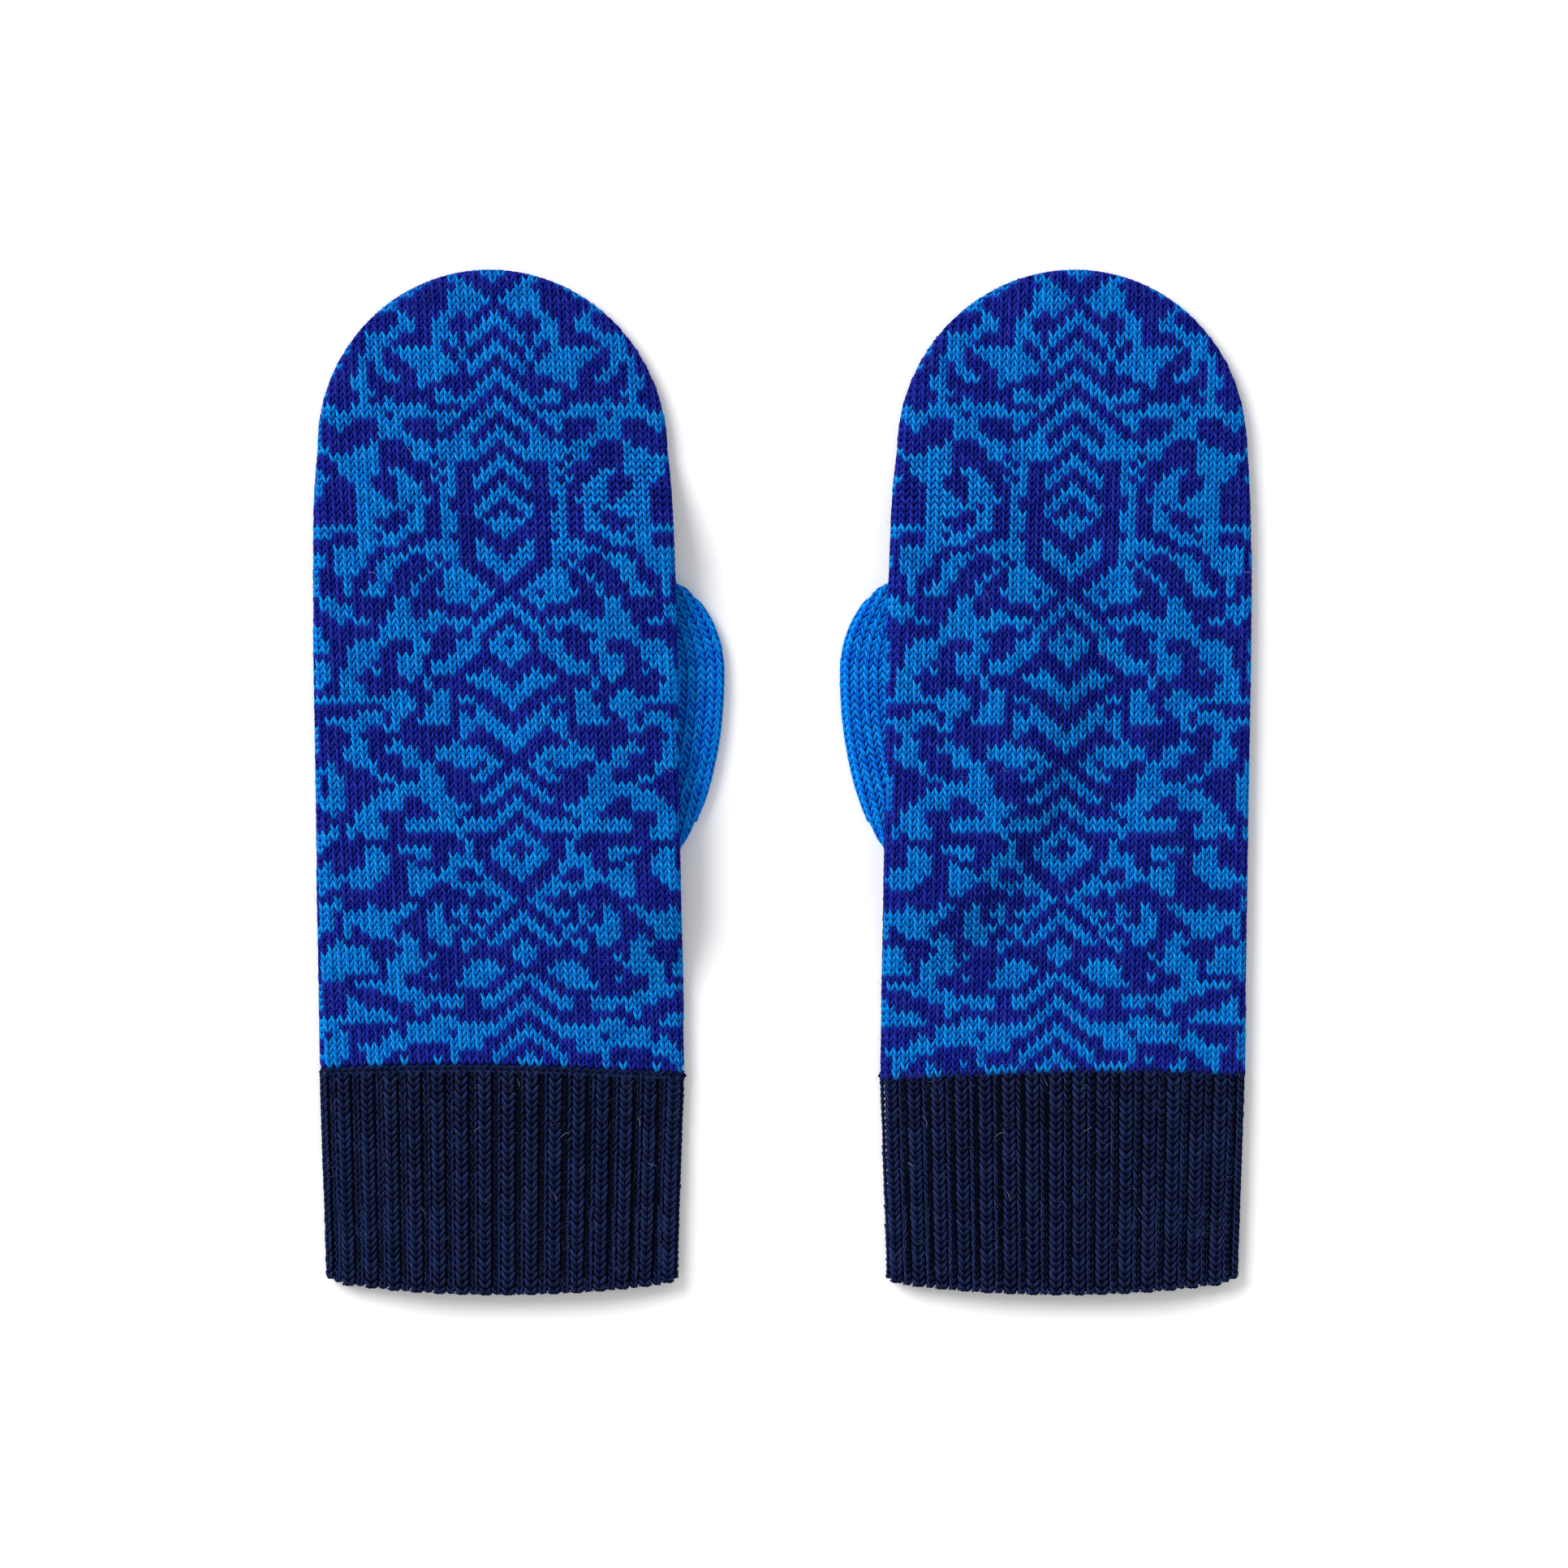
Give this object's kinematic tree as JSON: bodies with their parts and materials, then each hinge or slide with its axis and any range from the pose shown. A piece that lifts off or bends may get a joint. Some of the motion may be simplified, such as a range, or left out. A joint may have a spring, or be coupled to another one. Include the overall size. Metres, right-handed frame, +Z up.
{
  "type": "pair of knitted mittens",
  "caption": "Pair of long knitted mittens with folded ribbed cuffs and flat thumbs, lying palm down.",
  "frame": {"origin": "middle of the pair, on the surface that it lies on", "axes": "+Z up from the surface, towards the backs of the hands; +Y towards the fingertips; +X from the left-hand mitten to the right-hand one"},
  "size_m": [0.2542, 0.2776, 0.0171],
  "materials": {
    "two_colour_knit": "matte",
    "plain_knit": "matte",
    "rib_knit": "matte",
    "seam_yarn": "matte",
    "label_tape": "satin"
  },
  "bodies": {
    "left_hand": {"left_back_panel": "two_colour_knit", "left_palm_panel": "two_colour_knit", "left_side_seam": "seam_yarn", "left_cuff_seam": "seam_yarn", "left_thumb_base": "plain_knit", "left_thumb_opening_seam": "seam_yarn", "left_care_label": "label_tape"},
    "left_thumb": {"left_thumb_upper": "plain_knit", "left_thumb_lower": "plain_knit", "left_thumb_side_seam": "seam_yarn"},
    "left_cuff": {"left_cuff": "rib_knit"},
    "right_hand": {"right_back_panel": "two_colour_knit", "right_palm_panel": "two_colour_knit", "right_side_seam": "seam_yarn", "right_cuff_seam": "seam_yarn", "right_thumb_base": "plain_knit", "right_thumb_opening_seam": "seam_yarn", "right_care_label": "label_tape"},
    "right_thumb": {"right_thumb_upper": "plain_knit", "right_thumb_lower": "plain_knit", "right_thumb_side_seam": "seam_yarn"},
    "right_cuff": {"right_cuff": "rib_knit"}
  },
  "joints": [
    {"name": "left_thumb_fold", "type": "hinge", "parent": "left_hand", "child": "left_thumb", "pos_m": [-0.0366, 0.0138, 0], "axis": [-1, 0, 0], "range_deg": [0, 90]},
    {"name": "left_cuff_fold", "type": "hinge", "parent": "left_hand", "child": "left_cuff", "pos_m": [-0.07585, -0.07905, 0.0096], "axis": [-1, 0, 0], "range_deg": [0, 160]},
    {"name": "right_thumb_fold", "type": "hinge", "parent": "right_hand", "child": "right_thumb", "pos_m": [0.0366, 0.0138, 0], "axis": [-1, 0, 0], "range_deg": [0, 90]},
    {"name": "right_cuff_fold", "type": "hinge", "parent": "right_hand", "child": "right_cuff", "pos_m": [0.07585, -0.07905, 0.0096], "axis": [-1, 0, 0], "range_deg": [0, 160]},
    {"name": "right_mitten_lift", "type": "slide", "parent": "left_hand", "child": "right_hand", "axis": [0, 0, 1], "range_m": [0, 0.2]}
  ]
}
